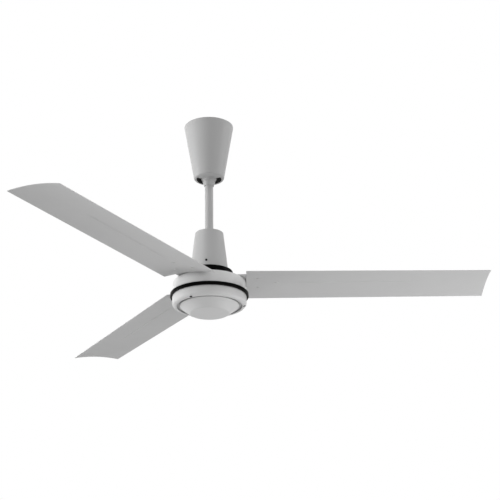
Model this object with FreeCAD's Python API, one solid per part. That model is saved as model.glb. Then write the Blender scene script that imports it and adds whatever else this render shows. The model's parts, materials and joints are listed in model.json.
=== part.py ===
import FreeCAD, Part
import math
import os

# Ceiling fan. Millimetres, +Z up, origin on the ceiling above the downrod's axis.
# The first blade points along +X.

# Fits shared by all pieces
press_gap = 0.05        # between pieces pressed, screwed or cast together
seat_gap = 0.1          # between a curved piece and its seat
slide_gap = 0.35        # round the downrod, for the parts that slide on it
running_gap = 0.05      # round the hanger bolt
side_gap = 0.3          # beside pieces that move past each other
overrun = 1.0           # how far a cutter reaches past what it cuts

# Ceiling bracket
plate_length = 96.0
plate_width = 34.0
plate_corner = 6.0
bracket_sheet = 3.0
bracket_bend = 2.5
anchor_spacing = 72.0
anchor_hole_radius = 3.5
ear_spacing = 30.0      # between the inner faces of the two ears
hanger_drop = 30.0      # from the ceiling to the hanger bolt

# Hanger bolt, nut, split pin and bush
hanger_bolt_radius = 4.0
hanger_head_width = 13.0
hanger_head_height = 5.3
hanger_nut_height = 6.5
hanger_tail = 6.0       # bolt left past the nut, for the split pin
split_pin_radius = 0.9
split_pin_eye_radius = 2.6
split_pin_leg = 14.0
eye_bore_radius = 11.5
eye_wall = 4.0
eye_length = 22.0
bush_flange_radius = 14.5

# Downrod
rod_radius = 10.65
rod_wall = 2.6
rod_exposed = 152.0     # from the upper canopy to the lower canopy
wire_hole_radius = 4.0
wire_hole_drop = 22.0   # below the eye

# Upper canopy and its collar
canopy_gap = 8.0        # left under the ceiling
canopy_height = 150.0
canopy_top_radius = 64.3
canopy_bottom_radius = 38.6
canopy_wall = 1.6
canopy_round = 5.0
window_inner_radius = 19.5
window_outer_radius = 32.5
window_azimuths = (18.0, 162.0)
window_span = 84.0
collar_radius = 16.0
collar_nose_radius = 12.4
collar_straight = 9.0
collar_nose = 10.0
collar_round = 3.0
collar_screw_radius = 2.0
collar_screw_azimuth = 70.0
collar_screw_head_radius = 3.4
collar_screw_head_height = 2.2

# Lower canopy
lower_canopy_height = 104.0
lower_canopy_top_radius = 36.2
lower_canopy_bottom_radius = 48.0
lower_canopy_wall = 1.2
lower_canopy_round = 2.5
canopy_screw_radius = 1.5
canopy_screw_head_radius = 2.9
canopy_screw_head_height = 1.9
canopy_screw_height = 14.0      # above the lower canopy's rim
canopy_screw_azimuths = (262.0, 82.0)

# Rod coupling with its cross bolt, and the carrier below it
coupling_radius = 16.0
coupling_top_drop = 30.0        # below the top of the lower canopy
coupling_socket = 32.0
coupling_round = 1.5
coupling_bolt_radius = 3.0
coupling_bolt_drop = 16.0       # below the top of the coupling
coupling_head_width = 10.0
coupling_head_height = 4.0
coupling_nut_height = 5.0
coupling_tail = 5.0
coupling_pin_radius = 0.7
coupling_pin_eye_radius = 2.0
coupling_pin_leg = 10.0
carrier_rise = 10.0             # underside of the carrier above the lower canopy's rim
carrier_sheet = 1.6
carrier_rim = 10.5
lock_nut_height = 7.0
lock_nut_width = 24.0

# Capacitor and terminal block, standing on the carrier
capacitor_width = 27.0
capacitor_depth = 13.0
capacitor_height = 36.0
capacitor_round = 2.5
capacitor_offset = 18.5         # from the axis to its near face
capacitor_lug_width = 4.8
capacitor_lug_sheet = 0.8
capacitor_lug_height = 7.0
strap_sheet = 1.0
strap_width = 7.0
strap_foot = 6.5
strap_screw_radius = 1.4
strap_screw_head_radius = 2.4
strap_screw_head_height = 1.6
terminal_width = 30.0
terminal_depth = 13.0
terminal_height = 17.0
terminal_round = 1.5
terminal_pitch = 9.5
terminal_ways = (-1, 0, 1)
terminal_wire_radius = 1.9
terminal_well_radius = 2.3
terminal_screw_length = 5.0
terminal_screw_depth = 1.2      # head below the block's face
terminal_slot_width = 0.6
terminal_slot_depth = 0.7

# Motor shaft and bearings, both of one standard size
shaft_radius = 7.5
shaft_shoulder_radius = 9.5
shaft_core_radius = 12.5
shaft_bore_radius = 4.5
shaft_chamfer = 1.0
lead_hole_radius = 3.2
bearing_radius = 17.5
bearing_width = 11.0
bearing_pitch_radius = 12.5
bearing_land = 2.9              # radial thickness of each ring at its edge
bearing_ball_radius = 3.0
bearing_ball_count = 8
bearing_ball_gap = 0.04
bearing_cage_width = 7.6
bearing_cage_wall = 1.4

# Motor shells, black band, hub cover and bottom cap
hub_gap = 2.8                   # between the lower canopy and the hub cover
hub_cover_inset = 32.0          # inside the upper shell's wall
hub_cover_height = 24.4
hub_cover_wall = 2.0
hub_cover_round = 1.2
hub_cover_hole_radius = 16.0
hub_cover_collar = 14.0
hub_cover_collar_wall = 2.4
shell_radius = 91.5
shell_height = 30.4
shell_wall = 2.5
shell_plate = 3.3
shell_edge = 0.8
seat_inset = 5.0                # raised seat of the blade brackets, inside the wall
seat_height = 3.3
boss_wall = 4.0
boss_round = 1.5
boss_cap = 3.0
boss_hole_gap = 2.0             # round the shaft
band_proud = 7.0                # outside the upper shell's wall
band_height = 8.4
band_edge = 1.2
lower_shell_proud = 1.5         # outside the upper shell's wall
lower_shell_height = 24.7
lower_shell_round = 10.0
recess_inset = 11.5             # inside the lower shell's wall
recess_depth = 4.5
recess_lip = 1.4
lower_boss_drop = 2.3           # lower bearing's boss below the recess
shell_screw_inset = 6.5         # inside the lower shell's wall
shell_screw_radius = 2.0
shell_screw_gap = 0.25
shell_screw_head_radius = 3.6
shell_screw_head_height = 2.6
shell_screw_recess = 3.2
shell_screw_length = 42.0
shell_post_radius = 4.2
lower_post_radius = 5.4
cap_gap = 7.0                   # groove round the bottom cap
cap_wall = 1.8
cap_skirt = 3.0
cap_depth = 19.6
cap_flat_inset = 33.5           # inside the recess
cap_round = 7.0
cap_peg_inset = 17.5            # inside the recess
cap_peg_radius = 3.0
cap_peg_reach = 1.8
peg_azimuth = 60.0
slot_width = 1.2                # driver slot of every pan-head screw
slot_depth_share = 0.5

# Stator and rotor
rotor_wall = 19.7
air_gap = 0.5
stack_height = 24.0
slot_count = 16
slot_body_width = 8.0
core_slot_share = 1 / 3         # of the stator's radius
slot_lip = 3.0
slot_mouth_width = 3.0
coil_gap = 0.3
coil_height = 6.5
coil_inset = 3.0                # inside the floor of the slots
coil_round = 2.5
rotor_slack = 0.9               # between the rotor core and the posts of the shells
cage_bar_count = 22
cage_bar_width = 3.6
cage_bar_depth = 7.0
cage_bridge = 1.4
cage_ring_depth = 11.0
cage_ring_height = 4.5

# Blades and brackets
blade_count = 3
blade_tip_radius = 697.5
blade_root_gap = 1.2            # between the upper shell's wall and the blade
blade_root_width = 149.0
blade_tip_width = 140.0
blade_sheet = 1.2
blade_camber = 6.0
blade_pitch = 6.8
blade_droop = 3.1
bead_start_radius = 205.0
bead_end_radius = 520.0
bead_run_out = 28.0
bead_width = 9.0
bead_depth = 1.5                # pressed down out of the blade
bracket_thickness = 3.0
bracket_root_share = 1.445      # width at the root, of the hub cover's radius
bracket_neck_width = 80.0
bracket_end_width = 58.0
bracket_nose_width = 34.0
bracket_neck_reach = 23.0       # from the shell's wall to the full twist
bracket_reach = 94.0            # from the shell's wall to the bracket's end
bracket_nose = 10.0
bracket_hub_gap = 0.8
bracket_screw_radius = 3.0
bracket_screw_head_radius = 5.0
bracket_screw_head_height = 3.4
bracket_screw_grip = 6.5        # thread below the bracket
bracket_screw_inset = 17.0      # from the shell's wall inwards
bracket_screw_spacing = 48.0
blade_screw_radius = 2.5
blade_screw_head_radius = 4.5
blade_screw_head_height = 1.2
blade_screw_gap = 0.2
blade_screw_tail = 1.0
blade_nut_width = 8.0
blade_nut_height = 4.0
inner_screw_reach = 33.0        # from the shell's wall to the pair of screws
inner_screw_spacing = 50.0
outer_screw_reach = 78.0        # from the shell's wall to the single screw

# Directions, planes and turns
ORIGIN = FreeCAD.Vector(0, 0, 0)
ALONG_X = FreeCAD.Vector(1, 0, 0)
ALONG_Y = FreeCAD.Vector(0, 1, 0)
UP = FreeCAD.Vector(0, 0, 1)
PLANE_XY = (ALONG_X, ALONG_Y, UP)
PLANE_XZ = (ALONG_X, UP, ALONG_Y)
PLANE_YZ = (ALONG_Y, UP, ALONG_X)
FULL_TURN = 360.0
HALF_TURN = 180.0
QUARTER_TURN = 90.0
HEX_SIDES = 6

# Heights, from the ceiling down
hanger_z = -hanger_drop
canopy_top_z = -canopy_gap
canopy_bottom_z = canopy_top_z - canopy_height
lower_canopy_top_z = canopy_bottom_z - rod_exposed
lower_canopy_bottom_z = lower_canopy_top_z - lower_canopy_height
carrier_z = lower_canopy_bottom_z + carrier_rise
coupling_bottom_z = carrier_z + carrier_sheet
coupling_top_z = lower_canopy_top_z - coupling_top_drop
coupling_bolt_z = coupling_top_z - coupling_bolt_drop
socket_floor_z = coupling_top_z - coupling_socket
hub_cover_top_z = lower_canopy_bottom_z - hub_gap
seat_z = hub_cover_top_z - hub_cover_height
shell_top_z = seat_z - seat_height
band_top_z = shell_top_z - shell_height
band_bottom_z = band_top_z - band_height
lower_shell_bottom_z = band_bottom_z - lower_shell_height
recess_z = lower_shell_bottom_z + recess_depth
lower_floor_z = recess_z + shell_wall
plate_inner_z = seat_z - shell_plate
upper_bearing_z = plate_inner_z + shell_edge
upper_pocket_z = upper_bearing_z + bearing_width
upper_boss_z = upper_pocket_z + boss_cap
lower_boss_z = recess_z - lower_boss_drop
lower_bearing_z = lower_boss_z + boss_cap
lower_pocket_z = lower_bearing_z + bearing_width
stack_middle_z = (band_top_z + band_bottom_z) / 2
stack_bottom_z = stack_middle_z - stack_height / 2
stack_top_z = stack_middle_z + stack_height / 2

# Radii that follow from fits
rod_hole_radius = rod_radius + slide_gap
boss_radius = bearing_radius + boss_wall
hub_cover_radius = shell_radius - hub_cover_inset
seat_radius = shell_radius - seat_inset
band_radius = shell_radius + band_proud
lower_shell_radius = shell_radius + lower_shell_proud
recess_radius = lower_shell_radius - recess_inset
shell_screw_circle = lower_shell_radius - shell_screw_inset
cap_flat_radius = recess_radius - cap_flat_inset
cap_peg_circle = recess_radius - cap_peg_inset
rotor_outer_radius = shell_screw_circle - lower_post_radius - rotor_slack
rotor_inner_radius = rotor_outer_radius - rotor_wall
stator_radius = rotor_inner_radius - air_gap
slot_floor_radius = stator_radius * (1 - core_slot_share)
coil_inner_radius = slot_floor_radius - coil_inset
bracket_root_width = hub_cover_radius * bracket_root_share
blade_root_radius = shell_radius + blade_root_gap
bracket_neck_radius = shell_radius + bracket_neck_reach
bracket_end_radius = shell_radius + bracket_reach
lower_canopy_slope = (lower_canopy_bottom_radius - lower_canopy_top_radius) / lower_canopy_height
blade_azimuths = [FULL_TURN * i / blade_count for i in range(blade_count)]


# General helpers

def rounded_wire(corners, plane):
    """Closed wire through (u, v) or (u, v, round) corners, with tangent arcs at the rounds."""
    u_axis, v_axis, _ = plane
    points = [u_axis * c[0] + v_axis * c[1] for c in corners]
    rounds = [c[2] if len(c) > 2 else 0 for c in corners]
    count = len(points)
    stops = []
    for i in range(count):
        here = points[i]
        if rounds[i] == 0:
            stops.append((here, None, here))
            continue
        back = (points[i - 1] - here).normalize()
        ahead = (points[(i + 1) % count] - here).normalize()
        half_angle = back.getAngle(ahead) / 2
        inward = (back + ahead).normalize()
        reach = rounds[i] / math.tan(half_angle)
        depth = rounds[i] / math.sin(half_angle) - rounds[i]
        stops.append((here + back * reach, here + inward * depth, here + ahead * reach))
    edges = []
    for i in range(count):
        start, middle, end = stops[i]
        if middle is not None:
            edges.append(Part.Arc(start, middle, end).toShape())
        edges.append(Part.LineSegment(end, stops[(i + 1) % count][0]).toShape())
    return Part.Wire(edges)


def revolved(corners, turn=FULL_TURN):
    """Solid turned about the axis from a (radius, height) outline."""
    return Part.Face(rounded_wire(corners, PLANE_XZ)).revolve(ORIGIN, UP, turn)


def prism(corners, plane, start, length):
    """Solid pulled from an outline along its plane's normal."""
    face = Part.Face(rounded_wire(corners, plane))
    face.translate(plane[2] * start)
    return face.extrude(plane[2] * length)


def box_corners(width, height, corner=0, middle=(0, 0)):
    u, v = middle
    signs = ((-1, -1), (1, -1), (1, 1), (-1, 1))
    return [(u + su * width / 2, v + sv * height / 2, corner) for su, sv in signs]


def cylinder(radius, bottom, top, middle=(0, 0)):
    return Part.makeCylinder(radius, top - bottom, FreeCAD.Vector(middle[0], middle[1], bottom), UP)


def moved(shape, offset):
    copy = shape.copy()
    copy.translate(offset)
    return copy


def rotated(shape, axis, angle):
    copy = shape.copy()
    copy.rotate(ORIGIN, axis, angle)
    return copy


def turned(shape, azimuth):
    return rotated(shape, UP, azimuth)


def at_azimuths(shape, azimuths):
    return [turned(shape, azimuth) for azimuth in azimuths]


def even_azimuths(count):
    return [FULL_TURN * i / count for i in range(count)]


def polar(radius, azimuth, z):
    angle = math.radians(azimuth)
    return FreeCAD.Vector(radius * math.cos(angle), radius * math.sin(angle), z)


def laid_along_x(shape):
    """Turns a piece that points up so that it points along -X."""
    return rotated(shape, ALONG_Y, -QUARTER_TURN)


def turned_over(shape):
    return rotated(shape, ALONG_X, HALF_TURN)


# Fasteners, each with its seat at height zero, its head below and its shank above

def hexagon(width):
    corner = width / 2 / math.cos(math.pi / HEX_SIDES)
    points = [polar(corner, azimuth, 0) for azimuth in even_azimuths(HEX_SIDES)]
    return [(p.x, p.y) for p in points]


def hex_bolt(radius, length, head_width, head_height):
    shank = cylinder(radius, 0, length)
    return prism(hexagon(head_width), PLANE_XY, -head_height, head_height).fuse(shank).removeSplitter()


def hex_nut(width, height, hole_radius):
    body = prism(hexagon(width), PLANE_XY, 0, height)
    return body.cut(cylinder(hole_radius, -overrun, height + overrun))


def dome_bolt(radius, length, head_radius, head_height):
    """Bolt with a plain domed head."""
    dome = head_height / 2
    head = revolved([(0, 0), (head_radius, 0), (head_radius, -head_height, dome), (0, -head_height)])
    return head.fuse(cylinder(radius, 0, length)).removeSplitter()


def pan_screw(radius, length, head_radius, head_height):
    """Domed screw with a driver slot."""
    slot_depth = head_height * slot_depth_share
    slot = prism(box_corners(head_radius * 2 + overrun, slot_width), PLANE_XY,
                 -head_height - overrun, slot_depth + overrun)
    return dome_bolt(radius, length, head_radius, head_height).cut(slot)


def split_pin(radius, eye_radius, leg):
    """Pin that hangs down from an eye, with the eye's middle at the origin."""
    eye = Part.makeTorus(eye_radius, radius)
    eye.rotate(ORIGIN, ALONG_Y, QUARTER_TURN)
    return eye.fuse(cylinder(radius, -eye_radius - leg, -eye_radius)).removeSplitter()


# Ceiling bracket and hanger

def ceiling_bracket():
    ear_outer = ear_spacing / 2 + bracket_sheet
    ear_inner = ear_spacing / 2
    tip_z = hanger_z - plate_width / 2
    half = plate_length / 2
    strap = prism([(-half, 0), (half, 0), (half, -bracket_sheet), (ear_outer, -bracket_sheet, bracket_bend),
                   (ear_outer, tip_z), (ear_inner, tip_z), (ear_inner, -bracket_sheet, bracket_bend),
                   (-ear_inner, -bracket_sheet, bracket_bend), (-ear_inner, tip_z), (-ear_outer, tip_z),
                   (-ear_outer, -bracket_sheet, bracket_bend), (-half, -bracket_sheet)],
                  PLANE_XZ, -plate_width / 2, plate_width)
    ear_tip = plate_width / 2 - seat_gap
    side = prism([(-plate_width / 2, 0), (plate_width / 2, 0), (plate_width / 2, tip_z, ear_tip),
                  (-plate_width / 2, tip_z, ear_tip)], PLANE_YZ, -half, plate_length)
    top = prism(box_corners(plate_length, plate_width, plate_corner), PLANE_XY, tip_z, -tip_z)
    bracket = strap.common(side).common(top)
    for side_sign in (-1, 1):
        place = (side_sign * anchor_spacing / 2, 0)
        bracket = bracket.cut(cylinder(anchor_hole_radius, -bracket_sheet - overrun, overrun, place))
    bolt_hole = Part.makeCylinder(hanger_bolt_radius + running_gap, plate_length,
                                  FreeCAD.Vector(-half, 0, hanger_z), ALONG_X)
    return bracket.cut(bolt_hole).removeSplitter()


hanger_seat_x = ear_spacing / 2 + bracket_sheet
hanger_pin_x = hanger_seat_x + hanger_nut_height + hanger_tail / 2


def hanger_bolt():
    length = 2 * hanger_seat_x + hanger_nut_height + hanger_tail
    bolt = hex_bolt(hanger_bolt_radius, length, hanger_head_width, hanger_head_height)
    bolt = moved(laid_along_x(bolt), FreeCAD.Vector(hanger_seat_x, 0, hanger_z))
    hole = cylinder(split_pin_radius + press_gap, hanger_z - hanger_head_width,
                    hanger_z + hanger_head_width, (-hanger_pin_x, 0))
    return bolt.cut(hole)


def hanger_nut():
    nut = hex_nut(hanger_head_width, hanger_nut_height, hanger_bolt_radius + press_gap)
    return moved(laid_along_x(nut), FreeCAD.Vector(-hanger_seat_x, 0, hanger_z))


def hanger_split_pin():
    pin = split_pin(split_pin_radius, split_pin_eye_radius, split_pin_leg)
    rise = hanger_bolt_radius + split_pin_eye_radius + split_pin_radius + seat_gap
    return moved(pin, FreeCAD.Vector(-hanger_pin_x, 0, hanger_z + rise))


def hanger_bush():
    half = ear_spacing / 2 - side_gap
    groove_half = eye_length / 2 + seat_gap
    groove_radius = eye_bore_radius - seat_gap
    bore = hanger_bolt_radius + running_gap
    spool = revolved([(bore, -half), (bush_flange_radius, -half), (bush_flange_radius, -groove_half),
                      (groove_radius, -groove_half), (groove_radius, groove_half),
                      (bush_flange_radius, groove_half), (bush_flange_radius, half), (bore, half)])
    return moved(laid_along_x(spool), FreeCAD.Vector(0, 0, hanger_z))


# Downrod and coupling

def cross_hole(radius, z):
    """Cutter along X through the downrod's axis."""
    reach = coupling_radius + overrun
    return Part.makeCylinder(radius, 2 * reach, FreeCAD.Vector(-reach, 0, z), ALONG_X)


def downrod():
    eye_radius = eye_bore_radius + eye_wall
    rod_bottom_z = socket_floor_z + side_gap
    eye_bottom_z = hanger_z - eye_radius
    start = FreeCAD.Vector(-eye_length / 2, 0, hanger_z)
    eye = Part.makeCylinder(eye_radius, eye_length, start, ALONG_X)
    rod = cylinder(rod_radius, rod_bottom_z, hanger_z).fuse(eye)
    rod = rod.cut(Part.makeCylinder(eye_bore_radius, eye_length, start, ALONG_X))
    rod = rod.cut(cylinder(rod_radius - rod_wall, rod_bottom_z - overrun, eye_bottom_z))
    wire_middle = UP * (eye_bottom_z - wire_hole_drop)
    rod = rod.cut(Part.makeCylinder(wire_hole_radius, rod_radius + overrun, wire_middle, ALONG_Y))
    return rod.cut(cross_hole(coupling_bolt_radius + press_gap, coupling_bolt_z)).removeSplitter()


def rod_coupling():
    rod_bore = rod_radius + seat_gap
    shaft_bore = shaft_radius + press_gap
    sleeve = revolved([(shaft_bore, coupling_bottom_z),
                       (coupling_radius, coupling_bottom_z, coupling_round),
                       (coupling_radius, coupling_top_z, coupling_round), (rod_bore, coupling_top_z),
                       (rod_bore, socket_floor_z), (shaft_bore, socket_floor_z)])
    return sleeve.cut(cross_hole(coupling_bolt_radius + press_gap, coupling_bolt_z))


coupling_seat_x = coupling_radius + seat_gap
coupling_pin_x = coupling_seat_x + coupling_nut_height + coupling_tail / 2


def coupling_bolt():
    length = 2 * coupling_seat_x + coupling_nut_height + coupling_tail
    bolt = hex_bolt(coupling_bolt_radius, length, coupling_head_width, coupling_head_height)
    bolt = moved(laid_along_x(bolt), FreeCAD.Vector(coupling_seat_x, 0, coupling_bolt_z))
    hole = cylinder(coupling_pin_radius + press_gap, coupling_bolt_z - coupling_head_width,
                    coupling_bolt_z + coupling_head_width, (-coupling_pin_x, 0))
    return bolt.cut(hole)


def coupling_nut():
    nut = hex_nut(coupling_head_width, coupling_nut_height, coupling_bolt_radius + press_gap)
    return moved(laid_along_x(nut), FreeCAD.Vector(-coupling_seat_x, 0, coupling_bolt_z))


def coupling_split_pin():
    pin = split_pin(coupling_pin_radius, coupling_pin_eye_radius, coupling_pin_leg)
    rise = coupling_bolt_radius + coupling_pin_eye_radius + coupling_pin_radius + seat_gap
    return moved(pin, FreeCAD.Vector(-coupling_pin_x, 0, coupling_bolt_z + rise))


def lower_canopy_inside(z):
    """Inner radius of the lower canopy at a height."""
    return lower_canopy_top_radius + lower_canopy_slope * (lower_canopy_top_z - z) - lower_canopy_wall


carrier_rim_z = carrier_z + carrier_rim
carrier_radius = lower_canopy_inside(carrier_rim_z) - slide_gap


def canopy_carrier():
    bore = shaft_radius + press_gap
    plate = revolved([(bore, carrier_z), (carrier_radius, carrier_z, 2 * carrier_sheet),
                      (carrier_radius, carrier_rim_z), (carrier_radius - carrier_sheet, carrier_rim_z),
                      (carrier_radius - carrier_sheet, coupling_bottom_z, carrier_sheet),
                      (bore, coupling_bottom_z)])
    for x in strap_screw_places():
        hole = cylinder(strap_screw_radius + press_gap, carrier_z - overrun, coupling_bottom_z + overrun,
                        (x, capacitor_y))
        plate = plate.cut(hole)
    return plate


def shaft_lock_nut():
    nut = hex_nut(lock_nut_width, lock_nut_height, shaft_radius + press_gap)
    return moved(nut, UP * (carrier_z - lock_nut_height))


# Capacitor and terminal block

capacitor_y = capacitor_offset + capacitor_depth / 2
terminal_y = -capacitor_offset - terminal_depth / 2
strap_half = capacitor_width / 2 + seat_gap + strap_sheet


def strap_screw_places():
    reach = strap_half + strap_foot / 2
    return (-reach, reach)


def capacitor():
    base = coupling_bottom_z
    body = prism(box_corners(capacitor_width, capacitor_depth, capacitor_round, (0, capacitor_y)),
                 PLANE_XY, base, capacitor_height)
    lug_y = capacitor_y - (capacitor_depth + strap_width) / 4
    for side_sign in (-1, 1):
        x = side_sign * capacitor_width / 3
        lug = prism(box_corners(capacitor_lug_width, capacitor_lug_sheet, 0, (x, lug_y)),
                    PLANE_XY, base + capacitor_height, capacitor_lug_height)
        body = body.fuse(lug)
    return body.removeSplitter()


def capacitor_strap():
    base = coupling_bottom_z
    top = base + capacitor_height + seat_gap + strap_sheet
    inner = strap_half - strap_sheet
    foot = strap_half + strap_foot
    band = prism([(-foot, base), (-inner, base), (-inner, top - strap_sheet), (inner, top - strap_sheet),
                  (inner, base), (foot, base), (foot, base + strap_sheet), (strap_half, base + strap_sheet),
                  (strap_half, top, strap_sheet), (-strap_half, top, strap_sheet),
                  (-strap_half, base + strap_sheet), (-foot, base + strap_sheet)],
                 PLANE_XZ, capacitor_y - strap_width / 2, strap_width)
    for x in strap_screw_places():
        hole = cylinder(strap_screw_radius + press_gap, base - overrun, base + strap_sheet + overrun,
                        (x, capacitor_y))
        band = band.cut(hole)
    return band


def strap_screws():
    length = strap_sheet + carrier_sheet
    screw = pan_screw(strap_screw_radius, length, strap_screw_head_radius, strap_screw_head_height)
    seat = coupling_bottom_z + strap_sheet
    places = [FreeCAD.Vector(x, capacitor_y, seat) for x in strap_screw_places()]
    return [moved(turned_over(screw), place) for place in places]


def terminal_well(x, radius, depth):
    """Cutter from the block's outer face towards the axis."""
    face_y = terminal_y - terminal_depth / 2
    middle = FreeCAD.Vector(x, face_y - overrun, coupling_bottom_z + terminal_height / 2)
    return Part.makeCylinder(radius, depth + overrun, middle, ALONG_Y)


def terminal_block():
    base = coupling_bottom_z
    block = prism(box_corners(terminal_width, terminal_depth, terminal_round, (0, terminal_y)),
                  PLANE_XY, base, terminal_height)
    for way in terminal_ways:
        x = way * terminal_pitch
        wire_bottom = base + terminal_height / 2 - terminal_wire_radius
        wire_top = base + terminal_height + overrun
        block = block.cut(cylinder(terminal_wire_radius, wire_bottom, wire_top, (x, terminal_y)))
        block = block.cut(terminal_well(x, terminal_well_radius, terminal_depth / 2))
    return block


def terminal_screws():
    face_y = terminal_y - terminal_depth / 2
    z = coupling_bottom_z + terminal_height / 2
    screw = cylinder(terminal_well_radius - press_gap, 0, terminal_screw_length)
    slot = prism(box_corners(terminal_well_radius * 2 + overrun, terminal_slot_width), PLANE_XY,
                 -overrun, terminal_slot_depth + overrun)
    screw = rotated(screw.cut(slot), ALONG_X, -QUARTER_TURN)
    return [moved(screw, FreeCAD.Vector(way * terminal_pitch, face_y + terminal_screw_depth, z))
            for way in terminal_ways]


# Canopies

def upper_canopy():
    web_z = canopy_bottom_z + canopy_wall
    inner_top = canopy_top_radius - canopy_wall
    inner_bottom = canopy_bottom_radius - canopy_wall
    cup = revolved([(rod_hole_radius, canopy_bottom_z),
                    (canopy_bottom_radius, canopy_bottom_z, canopy_round),
                    (canopy_top_radius, canopy_top_z), (inner_top, canopy_top_z),
                    (inner_bottom, web_z, canopy_round - canopy_wall), (rod_hole_radius, web_z)])
    low = canopy_bottom_z - overrun
    high = web_z + overrun
    window = revolved([(window_inner_radius, low), (window_outer_radius, low), (window_outer_radius, high),
                       (window_inner_radius, high)], window_span)
    for azimuth in window_azimuths:
        cup = cup.cut(turned(window, azimuth - window_span / 2))
    return cup


def collar_screw_axis_z():
    return canopy_bottom_z - collar_straight / 2


def canopy_collar():
    shoulder_z = canopy_bottom_z - collar_straight
    nose_z = shoulder_z - collar_nose
    collar = revolved([(rod_hole_radius, canopy_bottom_z), (collar_radius, canopy_bottom_z),
                       (collar_radius, shoulder_z, collar_round), (collar_nose_radius, nose_z),
                       (rod_hole_radius, nose_z)])
    hole = Part.makeCylinder(collar_screw_radius + press_gap, collar_radius + overrun,
                             UP * collar_screw_axis_z(), ALONG_X)
    return collar.cut(turned(hole, collar_screw_azimuth))


def collar_screw():
    length = collar_radius - rod_radius
    screw = pan_screw(collar_screw_radius, length, collar_screw_head_radius, collar_screw_head_height)
    screw = moved(laid_along_x(screw), FreeCAD.Vector(collar_radius + seat_gap, 0, collar_screw_axis_z()))
    return turned(screw, collar_screw_azimuth)


canopy_screw_z = lower_canopy_bottom_z + canopy_screw_height
canopy_screw_seat = lower_canopy_inside(canopy_screw_z) + lower_canopy_wall
canopy_lean = math.degrees(math.atan(lower_canopy_slope))


def canopy_screw_placed(piece):
    """Stands a piece made for a horizontal seat on the lower canopy's sloping wall."""
    leaned = rotated(laid_along_x(piece), ALONG_Y, -canopy_lean)
    return moved(leaned, FreeCAD.Vector(canopy_screw_seat, 0, canopy_screw_z))


def lower_canopy():
    inner_bottom = lower_canopy_bottom_radius - lower_canopy_wall
    inner_top = lower_canopy_top_radius - lower_canopy_wall
    roof_z = lower_canopy_top_z - lower_canopy_wall
    cup = revolved([(lower_canopy_bottom_radius, lower_canopy_bottom_z),
                    (lower_canopy_top_radius, lower_canopy_top_z, lower_canopy_round),
                    (rod_hole_radius, lower_canopy_top_z), (rod_hole_radius, roof_z),
                    (inner_top, roof_z, lower_canopy_round - lower_canopy_wall),
                    (inner_bottom, lower_canopy_bottom_z)])
    hole = cylinder(canopy_screw_radius + press_gap, -overrun, 2 * lower_canopy_wall + overrun)
    for azimuth in canopy_screw_azimuths:
        cup = cup.cut(turned(canopy_screw_placed(hole), azimuth))
    return cup


def lower_canopy_screws():
    length = canopy_screw_seat - carrier_radius - slide_gap
    screw = pan_screw(canopy_screw_radius, length, canopy_screw_head_radius, canopy_screw_head_height)
    screw = canopy_screw_placed(moved(screw, UP * -seat_gap))
    return at_azimuths(screw, canopy_screw_azimuths)


# Motor shaft, bearings, stator and rotor

def motor_shaft():
    bottom_z = lower_bearing_z
    top_z = socket_floor_z - side_gap
    bore_bottom_z = stack_top_z + coil_height
    shaft = revolved([(0, bottom_z), (shaft_radius, bottom_z, shaft_chamfer),
                      (shaft_radius, lower_pocket_z), (shaft_shoulder_radius, lower_pocket_z),
                      (shaft_shoulder_radius, stack_bottom_z),
                      (shaft_core_radius, stack_bottom_z), (shaft_core_radius, bore_bottom_z),
                      (shaft_shoulder_radius, bore_bottom_z), (shaft_shoulder_radius, upper_bearing_z),
                      (shaft_radius, upper_bearing_z), (shaft_radius, top_z), (shaft_bore_radius, top_z),
                      (shaft_bore_radius, bore_bottom_z), (0, bore_bottom_z)])
    lead_z = (bore_bottom_z + upper_bearing_z) / 2
    lead_hole = Part.makeCylinder(lead_hole_radius, shaft_core_radius, UP * lead_z, ALONG_Y)
    return shaft.cut(lead_hole)


bearing_levels = (upper_bearing_z, lower_bearing_z)


def at_bearings(shape):
    return [moved(shape, UP * level) for level in bearing_levels]


def bearing_groove():
    groove = Part.makeTorus(bearing_pitch_radius, bearing_ball_radius + bearing_ball_gap)
    return moved(groove, UP * (bearing_width / 2))


def bearing_ring(inner, outer):
    ring = cylinder(outer, 0, bearing_width).cut(cylinder(inner, -overrun, bearing_width + overrun))
    return ring.cut(bearing_groove())


def bearing_inner_rings():
    bore = shaft_radius + press_gap
    return at_bearings(bearing_ring(bore, bore + bearing_land))


def bearing_outer_rings():
    outside = bearing_radius - press_gap
    return at_bearings(bearing_ring(outside - bearing_land, outside))


def bearing_balls():
    place = FreeCAD.Vector(bearing_pitch_radius, 0, bearing_width / 2)
    azimuths = even_azimuths(bearing_ball_count)
    balls = at_bearings(Part.makeSphere(bearing_ball_radius, place))
    return [turned(ball, azimuth) for ball in balls for azimuth in azimuths]


def bearing_cages():
    inner = bearing_pitch_radius - bearing_cage_wall / 2
    outer = bearing_pitch_radius + bearing_cage_wall / 2
    bottom = (bearing_width - bearing_cage_width) / 2
    top = (bearing_width + bearing_cage_width) / 2
    cage = cylinder(outer, bottom, top).cut(cylinder(inner, bottom - overrun, top + overrun))
    window = Part.makeCylinder(bearing_ball_radius + bearing_ball_gap, outer + overrun,
                               UP * (bearing_width / 2), ALONG_X)
    for azimuth in even_azimuths(bearing_ball_count):
        cage = cage.cut(turned(window, azimuth))
    return [solid for copy in at_bearings(cage) for solid in copy.Solids]


def stator_slot():
    """Slot body with a narrow mouth."""
    lip_radius = stator_radius - slot_lip
    half_body = slot_body_width / 2
    half_mouth = slot_mouth_width / 2
    return [(slot_floor_radius, -half_body), (lip_radius, -half_body), (lip_radius, -half_mouth),
            (stator_radius + overrun, -half_mouth), (stator_radius + overrun, half_mouth),
            (lip_radius, half_mouth), (lip_radius, half_body), (slot_floor_radius, half_body)]


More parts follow.
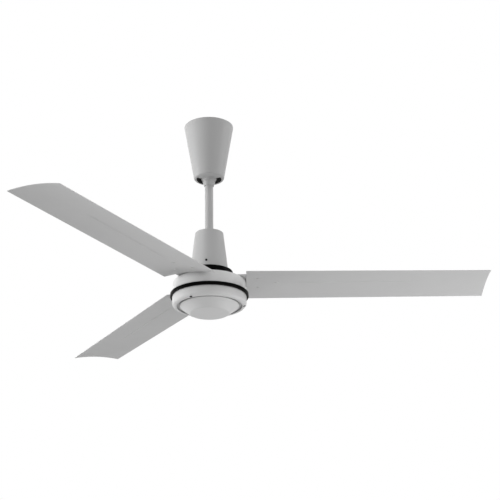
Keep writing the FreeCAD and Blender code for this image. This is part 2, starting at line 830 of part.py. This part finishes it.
def coil_side_outline():
    lip_radius = stator_radius - slot_lip
    half_body = slot_body_width / 2 - coil_gap
    return [(slot_floor_radius + coil_gap, -half_body), (lip_radius - coil_gap, -half_body),
            (lip_radius - coil_gap, half_body), (slot_floor_radius + coil_gap, half_body)]


def stator_core():
    core = cylinder(stator_radius, stack_bottom_z, stack_top_z)
    bore_radius = shaft_core_radius + press_gap
    core = core.cut(cylinder(bore_radius, stack_bottom_z - overrun, stack_top_z + overrun))
    slot = prism(stator_slot(), PLANE_XY, stack_bottom_z - overrun, stack_height + 2 * overrun)
    for azimuth in even_azimuths(slot_count):
        core = core.cut(turned(slot, azimuth))
    return core


def stator_windings():
    outer = stator_radius - slot_lip
    rings = []
    for near_z, far_z in ((stack_top_z + coil_gap, stack_top_z + coil_height),
                          (stack_bottom_z - coil_gap, stack_bottom_z - coil_height)):
        rings.append(revolved([(coil_inner_radius, near_z), (outer, near_z), (outer, far_z, coil_round),
                               (coil_inner_radius, far_z, coil_round)]))
    windings = rings[0].fuse(rings[1])
    side = prism(coil_side_outline(), PLANE_XY, stack_bottom_z - coil_height / 2,
                 stack_height + coil_height)
    return windings.fuse(at_azimuths(side, even_azimuths(slot_count))).removeSplitter()


def cage_bar(inset):
    """Outline of one bar, or with a negative inset of the slot round it."""
    inner = rotor_inner_radius + cage_bridge + inset
    outer = inner + cage_bar_depth - 2 * inset
    half = cage_bar_width / 2 - inset
    return [(inner, -half), (outer, -half), (outer, half), (inner, half)]


def rotor_core():
    core = cylinder(rotor_outer_radius, stack_bottom_z, stack_top_z)
    core = core.cut(cylinder(rotor_inner_radius, stack_bottom_z - overrun, stack_top_z + overrun))
    slot = prism(cage_bar(-press_gap), PLANE_XY, stack_bottom_z - overrun, stack_height + 2 * overrun)
    for azimuth in even_azimuths(cage_bar_count):
        core = core.cut(turned(slot, azimuth))
    return core


def rotor_cage():
    inner = rotor_inner_radius + cage_bridge / 2
    outer = inner + cage_ring_depth
    rings = []
    for near_z, far_z in ((stack_top_z + press_gap, stack_top_z + cage_ring_height),
                          (stack_bottom_z - press_gap, stack_bottom_z - cage_ring_height)):
        rings.append(revolved([(inner, near_z), (outer, near_z), (outer, far_z), (inner, far_z)]))
    bar = prism(cage_bar(0), PLANE_XY, stack_bottom_z - cage_ring_height / 2,
                stack_height + cage_ring_height)
    bars = at_azimuths(bar, even_azimuths(cage_bar_count))
    return rings[0].fuse(rings[1]).fuse(bars).removeSplitter()


# Motor shells, band, hub cover and bottom cap

def shell_screw_place():
    return (shell_screw_circle, 0)


def bracket_screw_places():
    r = shell_radius - bracket_screw_inset
    return [(r, side_sign * bracket_screw_spacing / 2) for side_sign in (-1, 1)]


def upper_shell():
    inner_radius = shell_radius - shell_wall
    rim_inner_z = shell_top_z - shell_plate
    step_radius = seat_radius - shell_wall
    hole_radius = shaft_radius + boss_hole_gap
    shell = revolved([(shell_radius, band_top_z), (shell_radius, shell_top_z, shell_edge),
                      (seat_radius, shell_top_z), (seat_radius, seat_z, shell_edge), (boss_radius, seat_z),
                      (boss_radius, upper_boss_z, boss_round), (hole_radius, upper_boss_z),
                      (hole_radius, upper_pocket_z), (bearing_radius, upper_pocket_z),
                      (bearing_radius, plate_inner_z), (step_radius, plate_inner_z),
                      (step_radius, rim_inner_z), (inner_radius, rim_inner_z), (inner_radius, band_top_z)])
    post = cylinder(shell_post_radius, band_top_z, rim_inner_z + shell_plate / 2, shell_screw_place())
    shell = shell.fuse(at_azimuths(post, blade_azimuths))
    screw_top = shell_screw_seat_z + shell_screw_length + overrun
    holes = [cylinder(shell_screw_radius + press_gap, band_top_z - overrun, screw_top, shell_screw_place())]
    thread_radius = bracket_screw_radius + press_gap
    for place in bracket_screw_places():
        holes.append(cylinder(thread_radius, rim_inner_z - overrun, seat_z + overrun, place))
    for hole in holes:
        shell = shell.cut(at_azimuths(hole, blade_azimuths))
    return shell.removeSplitter()


shell_screw_seat_z = lower_shell_bottom_z + shell_screw_recess


def lower_shell():
    inner_radius = lower_shell_radius - shell_wall
    trough_radius = recess_radius + shell_wall
    trough_z = lower_shell_bottom_z + shell_wall
    inner_round = min(lower_shell_round, inner_radius - trough_radius) - shell_wall
    shell = revolved([(lower_shell_radius, band_bottom_z),
                      (lower_shell_radius, lower_shell_bottom_z, lower_shell_round),
                      (recess_radius, lower_shell_bottom_z, recess_lip), (recess_radius, recess_z),
                      (boss_radius, recess_z), (boss_radius, lower_boss_z, boss_round), (0, lower_boss_z),
                      (0, lower_bearing_z), (bearing_radius, lower_bearing_z),
                      (bearing_radius, lower_pocket_z), (boss_radius, lower_pocket_z),
                      (boss_radius, lower_floor_z),
                      (trough_radius, lower_floor_z), (trough_radius, trough_z),
                      (inner_radius, trough_z, inner_round), (inner_radius, band_bottom_z)])
    post = cylinder(lower_post_radius, trough_z - shell_wall / 2, band_bottom_z, shell_screw_place())
    shell = shell.fuse(at_azimuths(post, blade_azimuths))
    clear_radius = recess_radius - lower_post_radius
    shell = shell.cut(revolved([(clear_radius, lower_shell_bottom_z), (recess_radius, lower_shell_bottom_z),
                                (recess_radius, recess_z), (clear_radius, recess_z)]))
    shank = cylinder(shell_screw_radius + shell_screw_gap, shell_screw_seat_z - overrun,
                     band_bottom_z + overrun, shell_screw_place())
    head = cylinder(shell_screw_head_radius + shell_screw_gap, lower_shell_bottom_z - overrun,
                    shell_screw_seat_z, shell_screw_place())
    peg = cylinder(cap_peg_radius + seat_gap, recess_z - overrun, lower_floor_z + overrun,
                   (cap_peg_circle, 0))
    for hole in (shank, head, turned(peg, peg_azimuth)):
        shell = shell.cut(at_azimuths(hole, blade_azimuths))
    return shell.removeSplitter()


def motor_band():
    inner_radius = rotor_outer_radius + press_gap
    band = revolved([(inner_radius, band_bottom_z), (band_radius, band_bottom_z, band_edge),
                     (band_radius, band_top_z, band_edge), (inner_radius, band_top_z)])
    hole = cylinder(shell_screw_radius + shell_screw_gap, band_bottom_z - overrun, band_top_z + overrun,
                    shell_screw_place())
    return band.cut(at_azimuths(hole, blade_azimuths))


def shell_screws():
    screw = pan_screw(shell_screw_radius, shell_screw_length, shell_screw_head_radius,
                      shell_screw_head_height)
    screw = moved(screw, FreeCAD.Vector(shell_screw_circle, 0, shell_screw_seat_z))
    return at_azimuths(screw, blade_azimuths)


def hub_cover():
    roof_z = hub_cover_top_z - hub_cover_wall
    collar_inner = boss_radius + seat_gap
    collar_outer = collar_inner + hub_cover_collar_wall
    collar_z = roof_z - hub_cover_collar
    inner_radius = hub_cover_radius - hub_cover_wall
    return revolved([(hub_cover_radius, seat_z), (hub_cover_radius, hub_cover_top_z, hub_cover_round),
                     (hub_cover_hole_radius, hub_cover_top_z), (hub_cover_hole_radius, roof_z),
                     (collar_inner, roof_z), (collar_inner, collar_z), (collar_outer, collar_z),
                     (collar_outer, roof_z), (inner_radius, roof_z), (inner_radius, seat_z)])


def bottom_cap():
    rim_radius = recess_radius - cap_gap
    rim_z = recess_z - side_gap
    skirt_z = rim_z - cap_skirt
    bottom_z = skirt_z - cap_depth
    inner_rim = rim_radius - cap_wall
    inner_flat = cap_flat_radius - cap_wall / 2
    floor_z = bottom_z + cap_wall
    cap = revolved([(0, bottom_z), (cap_flat_radius, bottom_z, cap_round), (rim_radius, skirt_z, cap_wall),
                    (rim_radius, rim_z), (inner_rim, rim_z), (inner_rim, skirt_z + cap_wall / 2),
                    (inner_flat, floor_z, cap_round - cap_wall), (0, floor_z)])
    flank_share = (cap_peg_circle - cap_flat_radius) / (rim_radius - cap_flat_radius)
    peg_foot_z = bottom_z + flank_share * cap_depth + cap_wall
    peg = cylinder(cap_peg_radius, peg_foot_z, lower_floor_z + cap_peg_reach, (cap_peg_circle, 0))
    return cap.fuse(at_azimuths(turned(peg, peg_azimuth), blade_azimuths)).removeSplitter()


# Blades, brackets and their screws. Each is made along +X, then turned to its azimuth.

def run_share(r):
    """How far along the blade a radius lies, from 0 at the root to 1 at the tip."""
    return (r - blade_root_radius) / (blade_tip_radius - blade_root_radius)


def blade_half_width(r):
    return (blade_root_width + (blade_tip_width - blade_root_width) * run_share(r)) / 2


def camber_radius(r):
    half = blade_half_width(r)
    return (half ** 2 + blade_camber ** 2) / (2 * blade_camber)


def camber_height(r, y):
    """Underside of the blade above the line that joins its two edges."""
    bend = camber_radius(r)
    return math.sqrt(bend ** 2 - y ** 2) - (bend - blade_camber)


def seat_rise():
    """Top of the blade at the bracket's high edge, above the middle of the line between the edges."""
    r = bracket_neck_radius
    y = -bracket_neck_width / 2
    pitch = math.radians(blade_pitch)
    return (camber_height(r, y) + blade_sheet) * math.cos(pitch) - y * math.sin(pitch)


blade_root_z = seat_z - 2 * seat_gap - seat_rise()


def blade_z(r):
    return blade_root_z - blade_droop * run_share(r)


def pitched(shape, r):
    """Gives a piece made level at its radius the blade's pitch and height."""
    return moved(rotated(shape, ALONG_X, -blade_pitch), UP * blade_z(r))


def bead_drop(r):
    """Depth of the long bead at a radius."""
    ends = min(r - bead_start_radius, bead_end_radius - r)
    return bead_depth * max(0, min(1, ends / bead_run_out))


def sheet_edges(r, half_width, low, drop):
    """Arcs across the blade at one radius, from -Y to +Y, lifted by low, with a bead in the middle."""
    bead_half = bead_width / 2

    def point(y, lift=0):
        return FreeCAD.Vector(r, y, camber_height(r, y) + low + lift)

    outer_middle = (half_width + bead_half) / 2
    return [Part.Arc(point(-half_width), point(-outer_middle), point(-bead_half)).toShape(),
            Part.Arc(point(-bead_half), point(0, -drop), point(bead_half)).toShape(),
            Part.Arc(point(bead_half), point(outer_middle), point(half_width)).toShape()]


def sheet_section(r, half_width, low, thickness, drop=0):
    """Closed outline of a curved sheet at one radius, in the blade's place."""
    under = sheet_edges(r, half_width, low, drop)
    over = sheet_edges(r, half_width, low + thickness, drop)
    near_side = Part.LineSegment(over[0].Vertexes[0].Point, under[0].Vertexes[0].Point).toShape()
    far_side = Part.LineSegment(under[-1].Vertexes[-1].Point, over[-1].Vertexes[-1].Point).toShape()
    return pitched(Part.Wire(under + [far_side] + over[::-1] + [near_side]), r)


def flat_section(r, half_width):
    """The same outline where the bracket lies flat on its seat."""
    bead_half = bead_width / 2
    stations = (-half_width, -bead_half, bead_half, half_width)
    under = [FreeCAD.Vector(r, y, seat_z) for y in stations]
    over = [FreeCAD.Vector(r, y, seat_z + bracket_thickness) for y in stations]
    return Part.makePolygon(under + over[::-1] + under[:1])


def blade_screw_places():
    inner = shell_radius + inner_screw_reach
    outer = shell_radius + outer_screw_reach
    return ((inner, -inner_screw_spacing / 2), (inner, inner_screw_spacing / 2), (outer, 0))


def on_blade(shape, place):
    """Stands a piece square on the blade's underside at a radius and a distance from its middle line."""
    r, y = place
    lean = math.degrees(math.asin(y / camber_radius(r)))
    leaned = rotated(shape, ALONG_X, -lean)
    return pitched(moved(leaned, FreeCAD.Vector(r, y, camber_height(r, y))), r)


def blade_screw_hole():
    return cylinder(blade_screw_radius + blade_screw_gap, -blade_sheet - overrun,
                    2 * blade_sheet + bracket_thickness + overrun)


def with_blade_holes(sheet):
    return sheet.cut([on_blade(blade_screw_hole(), place) for place in blade_screw_places()])


def blade():
    radii = (blade_root_radius, bead_start_radius, bead_start_radius + bead_run_out,
             bead_end_radius - bead_run_out, bead_end_radius, blade_tip_radius)
    sections = [sheet_section(r, blade_half_width(r), 0, blade_sheet, bead_drop(r)) for r in radii]
    return with_blade_holes(Part.makeLoft(sections, True, True))


def blade_bracket():
    low = blade_sheet + seat_gap
    nose_radius = bracket_end_radius - bracket_nose
    flat = [flat_section(hub_cover_radius / 2, bracket_root_width / 2),
            flat_section(shell_radius + blade_root_gap / 2, bracket_root_width / 2)]
    curved = [sheet_section(bracket_neck_radius, bracket_neck_width / 2, low, bracket_thickness),
              sheet_section(nose_radius, bracket_end_width / 2, low, bracket_thickness),
              sheet_section(bracket_end_radius, bracket_nose_width / 2, low, bracket_thickness)]
    bracket = Part.makeLoft(flat + curved, True, True)
    hub = cylinder(hub_cover_radius + bracket_hub_gap, seat_z - overrun, hub_cover_top_z)
    bracket = with_blade_holes(bracket.cut(hub))
    for place in bracket_screw_places():
        hole = cylinder(bracket_screw_radius + blade_screw_gap, seat_z - overrun,
                        seat_z + bracket_thickness + overrun, place)
        bracket = bracket.cut(hole)
    return bracket


def bracket_screws():
    length = bracket_thickness + bracket_screw_grip
    screw = turned_over(pan_screw(bracket_screw_radius, length, bracket_screw_head_radius,
                                  bracket_screw_head_height))
    top_z = seat_z + bracket_thickness
    screws = [moved(screw, FreeCAD.Vector(r, y, top_z)) for r, y in bracket_screw_places()]
    return [turned(copy, azimuth) for azimuth in blade_azimuths for copy in screws]


blade_nut_low = blade_sheet + bracket_thickness + 2 * seat_gap


def blade_screws():
    length = blade_nut_low + blade_nut_height + blade_screw_tail
    screw = dome_bolt(blade_screw_radius, length, blade_screw_head_radius, blade_screw_head_height)
    screw = moved(screw, UP * -seat_gap)
    screws = [on_blade(screw, place) for place in blade_screw_places()]
    return [turned(copy, azimuth) for azimuth in blade_azimuths for copy in screws]


def blade_nuts():
    nut = hex_nut(blade_nut_width, blade_nut_height, blade_screw_radius + press_gap)
    nut = moved(nut, UP * blade_nut_low)
    nuts = [on_blade(nut, place) for place in blade_screw_places()]
    return [turned(copy, azimuth) for azimuth in blade_azimuths for copy in nuts]


# Writing the pieces

single_pieces = (ceiling_bracket, hanger_bolt, hanger_nut, hanger_split_pin, hanger_bush, downrod,
                 rod_coupling, coupling_bolt, coupling_nut, coupling_split_pin, canopy_carrier,
                 shaft_lock_nut, capacitor, capacitor_strap, terminal_block, upper_canopy, canopy_collar,
                 collar_screw, lower_canopy, motor_shaft, stator_core, stator_windings, rotor_core,
                 rotor_cage, upper_shell, lower_shell, motor_band, hub_cover, bottom_cap)
grouped_pieces = (strap_screws, terminal_screws, lower_canopy_screws, bearing_inner_rings,
                  bearing_outer_rings, bearing_balls, bearing_cages, bracket_screws, blade_screws,
                  blade_nuts, shell_screws)
pieces = {make.__name__: make() for make in single_pieces}
pieces.update({make.__name__: Part.makeCompound(make()) for make in grouped_pieces})
for make in (blade, blade_bracket):
    for number, azimuth in enumerate(blade_azimuths, start=1):
        pieces[f"{make.__name__}_{number}"] = turned(make(), azimuth)

os.makedirs("parts", exist_ok=True)
for name, shape in pieces.items():
    shape.exportStep(f"parts/{name}.step")
    volume = sum(solid.Volume for solid in shape.Solids)
    print(f"{name:22s} solids {len(shape.Solids):2d} volume {volume:10.1f} valid {shape.isValid()}")
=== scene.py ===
import json
import math
from dataclasses import dataclass
import bpy
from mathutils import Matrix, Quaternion, Vector

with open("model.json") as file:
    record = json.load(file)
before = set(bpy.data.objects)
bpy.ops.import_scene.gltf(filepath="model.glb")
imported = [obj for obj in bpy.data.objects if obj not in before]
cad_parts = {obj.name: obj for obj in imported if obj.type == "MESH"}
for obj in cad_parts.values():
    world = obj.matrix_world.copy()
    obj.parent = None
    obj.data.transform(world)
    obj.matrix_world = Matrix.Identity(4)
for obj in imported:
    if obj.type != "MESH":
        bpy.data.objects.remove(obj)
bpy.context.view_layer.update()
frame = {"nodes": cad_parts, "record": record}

# Ceiling fan, dressed for a studio picture. Metres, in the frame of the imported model.

# Camera, below the fan and in front of it
camera_place = (0.0668, -2.9423, -1.5384)
camera_aim = (0.1036, -0.0013, -0.3570)
camera_roll = -0.9445           # degrees
camera_lens = 89.78             # millimetres, on a sensor of camera_sensor
camera_sensor = 36.0

# Room
floor_height = -6.0
floor_size = 200.0
floor_shade = 0.8
floor_glow = 0.52               # added where the floor is seen, which keeps it pale
floor_rough = 0.8
floor_mottle_scale = 1.5
floor_mottle_shares = (0.98, 1.02)
sky_shade = 0.3                 # what the room throws on the fan
white = 1.0                     # what the camera sees behind it

# Lamps: round, all of one size, aimed at the motor. Place, and power in watts
lamp_size = 1.4
lamp_aim = (0.0, 0.0, -0.45)
lamps = {
    "lamp_left": ((-3.0, 0.0, -0.4), 52.1),
    "lamp_left_back": ((-2.6, 1.5, -1.3), 21.1),
    "lamp_left_top": ((-1.47, -0.85, 1.5), 22.4),
    "lamp_right_top": ((1.7, 0.0, 1.5), 10.8),
    "lamp_right": ((2.8, 0.0, 0.7), 8.0),
    "lamp_right_front": ((1.5, -2.6, -1.3), 25.2),
    "lamp_right_low": ((1.16, 0.31, -1.5), 8.5),
}

# Colours, as plain linear shades
canopy_shade = 0.47
shell_shade = 0.69
blade_shade = 0.62
black_shade = 0.002
zinc_shade = 0.55
dark_steel_shade = 0.025
core_shade = 0.4
rubber_shade = 0.02
inner_plastic_shade = 0.6
copper_dark = (0.30, 0.09, 0.03, 1.0)
copper_light = (0.62, 0.25, 0.10, 1.0)

# Roughness
canopy_rough = 0.4
shell_rough = 0.4
blade_rough = 0.58
rod_rough = 0.38
black_rough = 0.2
zinc_rough = 0.32
dark_screw_rough = 0.38
bearing_rough = 0.22
aluminium_rough = 0.42
core_rough = 0.475
copper_rough = 0.325
rubber_rough = 0.7
inner_plastic_rough = 0.45

# Reflection straight on, as the shader counts it
enamel_specular = 0.25
black_specular = 0.02
fully_metal = 1.0

# Painted shade in hollows: how far off the walls may be, in metres, and what is left of the colour
trough_shade_reach = 0.022
trough_shade_share = 0.45
cup_shade_reach = 0.1
cup_shade_share = 0.33
hollow_samples = 8
hollow_full = 0.3               # openness at which a spot has all of the shade
hollow_none = 0.85              # openness at which it has none

# Textures
broad_detail = 3.0
fine_detail = 2.0
texture_low = 0.3               # noise and waves are read between these two values
texture_high = 0.7


@dataclass
class Finish:
    """How a surface is broken up: mottled colour, uneven gloss and a fine grain."""
    mottle_scale: float
    mottle_shares: tuple        # darkest and lightest, as shares of the colour
    gloss_scale: float
    gloss_spread: float         # how far the roughness strays each way
    grain_scale: float
    grain_strength: float
    grain_depth: float          # metres
    gloss_detail: float = broad_detail
    gloss_stretch: tuple = None


enamel_finish = Finish(
    mottle_scale=9.0, mottle_shares=(0.985, 1.015), gloss_scale=30.0, gloss_spread=0.03,
    grain_scale=520.0, grain_strength=0.05, grain_depth=0.0004)
black_finish = Finish(
    mottle_scale=24.0, mottle_shares=(0.8, 1.2), gloss_scale=60.0, gloss_spread=0.04,
    grain_scale=420.0, grain_strength=0.04, grain_depth=0.0003)
moulded_finish = Finish(
    mottle_scale=18.0, mottle_shares=(0.94, 1.06), gloss_scale=70.0, gloss_spread=0.05,
    grain_scale=900.0, grain_strength=0.10, grain_depth=0.0003)
plated_finish = Finish(
    mottle_scale=40.0, mottle_shares=(0.85, 1.1), gloss_scale=240.0, gloss_spread=0.08,
    grain_scale=700.0, grain_strength=0.06, grain_depth=0.0002,
    gloss_detail=fine_detail, gloss_stretch=(1.0, 1.0, 0.08))


@dataclass
class Lines:
    """How level lines break up a surface, such as the edges of stacked sheets or strands of wire."""
    scale: float
    waver: float
    gloss_scale: float
    gloss_spread: float
    strength: float
    depth: float                # metres


sheet_lines = Lines(
    scale=320.0, waver=0.2, gloss_scale=90.0, gloss_spread=0.075, strength=0.3, depth=0.0002)
sheet_edge_share = 0.6          # shade of the lines between the sheets, against the sheets' own
strand_lines = Lines(
    scale=260.0, waver=1.5, gloss_scale=120.0, gloss_spread=0.075, strength=0.5, depth=0.0005)

# Sockets of a Mix node that mixes colours
mix_amount = 0
mix_low = 6
mix_high = 7
mix_result = 2


def grey(shade):
    return (shade, shade, shade, 1.0)


# Material building blocks
class Paint:
    """A material with one surface shader, and helpers that add nodes to it."""

    def __init__(self, name):
        self.material = bpy.data.materials.new(name)
        self.material.use_nodes = True
        self.nodes = self.material.node_tree.nodes
        self.links = self.material.node_tree.links
        self.surface = self.nodes["Principled BSDF"]
        self.place = self.nodes.new("ShaderNodeTexCoord").outputs["Object"]

    def node(self, kind, **inputs):
        node = self.nodes.new(kind)
        for name, value in inputs.items():
            node.inputs[name.replace("_", " ").title()].default_value = value
        return node

    def set(self, name, value):
        self.surface.inputs[name].default_value = value

    def stretched(self, scale):
        node = self.node("ShaderNodeMapping", scale=scale)
        self.links.new(self.place, node.inputs["Vector"])
        return node.outputs["Vector"]

    def noise(self, scale, detail=broad_detail, stretch=None):
        node = self.node("ShaderNodeTexNoise", scale=scale, detail=detail)
        place = self.place if stretch is None else self.stretched(stretch)
        self.links.new(place, node.inputs["Vector"])
        return node.outputs["Fac"]

    def level_waves(self, scale, waver):
        node = self.node("ShaderNodeTexWave", scale=scale, distortion=waver)
        node.bands_direction = "Z"
        self.links.new(self.place, node.inputs["Vector"])
        return node.outputs["Fac"]

    def ramp(self, source, low, high):
        """Maps a texture's middle stretch onto low to high."""
        node = self.node(
            "ShaderNodeMapRange", from_min=texture_low, from_max=texture_high, to_min=low, to_max=high)
        self.links.new(source, node.inputs["Value"])
        return node.outputs["Result"]

    def colour_from(self, source, low, high):
        """Mixes two colours by a texture."""
        node = self.nodes.new("ShaderNodeMix")
        node.data_type = "RGBA"
        node.inputs[mix_low].default_value = low
        node.inputs[mix_high].default_value = high
        self.links.new(self.ramp(source, 0.0, 1.0), node.inputs[mix_amount])
        self.colour = node.outputs[mix_result]
        self.links.new(self.colour, self.surface.inputs["Base Color"])

    def mottle(self, scale, shade, shares):
        dark_share, light_share = shares
        self.colour_from(self.noise(scale), grey(shade * dark_share), grey(shade * light_share))

    def paint_shade_in_hollows(self, reach, share, own_only):
        """Paints shade into the colour: darkens it towards a share of itself where walls within reach
        close it in.
        """
        openness = self.nodes.new("ShaderNodeAmbientOcclusion")
        openness.samples = hollow_samples
        openness.only_local = own_only
        openness.inputs["Distance"].default_value = reach
        fade = self.node(
            "ShaderNodeMapRange", from_min=hollow_full, from_max=hollow_none, to_min=share, to_max=1.0)
        self.links.new(openness.outputs["AO"], fade.inputs["Value"])
        shaded = self.nodes.new("ShaderNodeVectorMath")
        shaded.operation = "SCALE"
        self.links.new(self.colour, shaded.inputs[0])
        self.links.new(fade.outputs["Result"], shaded.inputs["Scale"])
        self.links.new(shaded.outputs["Vector"], self.surface.inputs["Base Color"])

    def rough_from(self, source, rough, spread):
        self.links.new(self.ramp(source, rough - spread, rough + spread), self.surface.inputs["Roughness"])

    def bump_from(self, source, strength, depth):
        node = self.node("ShaderNodeBump", strength=strength, distance=depth)
        self.links.new(source, node.inputs["Height"])
        self.links.new(node.outputs["Normal"], self.surface.inputs["Normal"])


# Materials
def finished(name, finish, shade, rough):
    paint = Paint(name)
    paint.mottle(finish.mottle_scale, shade, finish.mottle_shares)
    gloss = paint.noise(finish.gloss_scale, finish.gloss_detail, finish.gloss_stretch)
    paint.rough_from(gloss, rough, finish.gloss_spread)
    grain = paint.noise(finish.grain_scale, fine_detail)
    paint.bump_from(grain, finish.grain_strength, finish.grain_depth)
    return paint


def lined(name, lines, low, high, rough):
    paint = Paint(name)
    paint.set("Metallic", fully_metal)
    waves = paint.level_waves(lines.scale, lines.waver)
    paint.colour_from(waves, low, high)
    paint.rough_from(paint.noise(lines.gloss_scale), rough, lines.gloss_spread)
    paint.bump_from(waves, lines.strength, lines.depth)
    return paint


def enamel(name, shade, rough):
    """Sprayed enamel: faint mottling and a fine orange peel."""
    paint = finished(name, enamel_finish, shade, rough)
    paint.set("Specular IOR Level", enamel_specular)
    return paint


def shell_enamel(name):
    """Enamel with painted shade where other pieces close it in, as in the narrow trough between two
    pieces.
    """
    paint = enamel(name, shell_shade, shell_rough)
    # painted shade in the troughs and gaps next to other pieces
    paint.paint_shade_in_hollows(trough_shade_reach, trough_shade_share, own_only=False)
    return paint


def canopy_plastic(name):
    """Satin outside, with painted shade inside the cup."""
    paint = enamel(name, canopy_shade, canopy_rough)
    # painted shade inside the cup, where the canopy closes itself in
    paint.paint_shade_in_hollows(cup_shade_reach, cup_shade_share, own_only=True)
    return paint


def black_gloss(name):
    """Black gloss with a thin haze."""
    paint = finished(name, black_finish, black_shade, black_rough)
    paint.set("Specular IOR Level", black_specular)
    return paint


def moulded(name, shade, rough):
    """Moulded plastic or rubber with a fine grain."""
    return finished(name, moulded_finish, shade, rough)


def plated(name, shade, rough):
    """Plated, cast or ground metal with faint drawn streaks."""
    paint = finished(name, plated_finish, shade, rough)
    paint.set("Metallic", fully_metal)
    return paint


def laminated(name):
    """Stacked sheet steel, with the sheets' edges showing as fine lines."""
    return lined(name, sheet_lines, grey(core_shade * sheet_edge_share), grey(core_shade), core_rough)


def copper_wire(name):
    """Varnished copper wire, laid in bundles."""
    return lined(name, strand_lines, copper_dark, copper_light, copper_rough)


def seen_rays(tree):
    """One for the rays that show the background: the camera's, and those of gloss and glass."""
    path = tree.nodes.new("ShaderNodeLightPath")
    seen = path.outputs["Is Camera Ray"]
    for kind in ("Is Glossy Ray", "Is Transmission Ray"):
        larger = tree.nodes.new("ShaderNodeMath")
        larger.operation = "MAXIMUM"
        tree.links.new(seen, larger.inputs[0])
        tree.links.new(path.outputs[kind], larger.inputs[1])
        seen = larger.outputs["Value"]
    return seen


def pale_floor(name):
    """Plain pale floor with a faint mottle. Its glow is seen and doesn't light the fan."""
    paint = Paint(name)
    paint.mottle(floor_mottle_scale, floor_shade, floor_mottle_shares)
    paint.set("Roughness", floor_rough)
    paint.set("Emission Color", grey(floor_glow))
    paint.links.new(seen_rays(paint.material.node_tree), paint.surface.inputs["Emission Strength"])
    return paint


slot_paints = {
    "shell_enamel": shell_enamel("shell_enamel"),
    "blade_enamel": enamel("blade_enamel", blade_shade, blade_rough),
    "canopy_plastic": canopy_plastic("canopy_plastic"),
    "rod_enamel": enamel("rod_enamel", canopy_shade, rod_rough),
    "black_gloss": black_gloss("black_gloss"),
    "zinc_steel": plated("zinc_steel", zinc_shade, zinc_rough),
    "dark_screw": plated("dark_screw", dark_steel_shade, dark_screw_rough),
    "bearing_steel": plated("bearing_steel", zinc_shade, bearing_rough),
    "cage_aluminium": plated("cage_aluminium", zinc_shade, aluminium_rough),
    "core_steel": laminated("core_steel"),
    "winding_copper": copper_wire("winding_copper"),
    "bush_rubber": moulded("bush_rubber", rubber_shade, rubber_rough),
    "inner_plastic": moulded("inner_plastic", inner_plastic_shade, inner_plastic_rough),
}


def dress_nodes():
    for subpart in frame["record"]["subparts"]:
        node = frame["nodes"][subpart["node"]]
        for place in node.material_slots:
            place.material = slot_paints[subpart["material_slot"]].material


# Stage
def lay_floor():
    bpy.ops.mesh.primitive_plane_add(size=floor_size, location=(0.0, 0.0, floor_height))
    floor = bpy.context.object
    floor.name = "floor"
    floor.data.materials.append(pale_floor("pale_floor").material)


def turned_to(place, aim):
    """The turn that points a lamp or camera at place towards aim."""
    return (Vector(aim) - Vector(place)).to_track_quat("-Z", "Y")


def hang_lamps():
    for name, (place, power) in lamps.items():
        light = bpy.data.lights.new(name, "AREA")
        light.shape = "DISK"
        light.size = lamp_size
        light.energy = power
        lamp = bpy.data.objects.new(name, light)
        lamp.location = place
        lamp.rotation_euler = turned_to(place, lamp_aim).to_euler()
        bpy.context.collection.objects.link(lamp)


def paint_sky():
    """The room is a soft grey for the fan, and plain white for the camera, gloss and glass."""
    world = bpy.data.worlds.new("room")
    bpy.context.scene.world = world
    world.use_nodes = True
    nodes = world.node_tree.nodes
    links = world.node_tree.links
    mix = nodes.new("ShaderNodeMix")
    mix.data_type = "RGBA"
    mix.inputs[mix_low].default_value = grey(sky_shade)
    mix.inputs[mix_high].default_value = grey(white)
    links.new(seen_rays(world.node_tree), mix.inputs[mix_amount])
    links.new(mix.outputs[mix_result], nodes["Background"].inputs["Color"])


def stand_camera():
    camera = bpy.data.cameras.new("camera")
    camera.sensor_width = camera_sensor
    camera.lens = camera_lens
    stand = bpy.data.objects.new("camera", camera)
    stand.location = camera_place
    roll = Quaternion((0.0, 0.0, 1.0), math.radians(camera_roll))
    stand.rotation_euler = (turned_to(camera_place, camera_aim) @ roll).to_euler()
    bpy.context.collection.objects.link(stand)
    bpy.context.scene.camera = stand


dress_nodes()
lay_floor()
hang_lamps()
paint_sky()
stand_camera()
bpy.context.scene.view_settings.view_transform = "Standard"
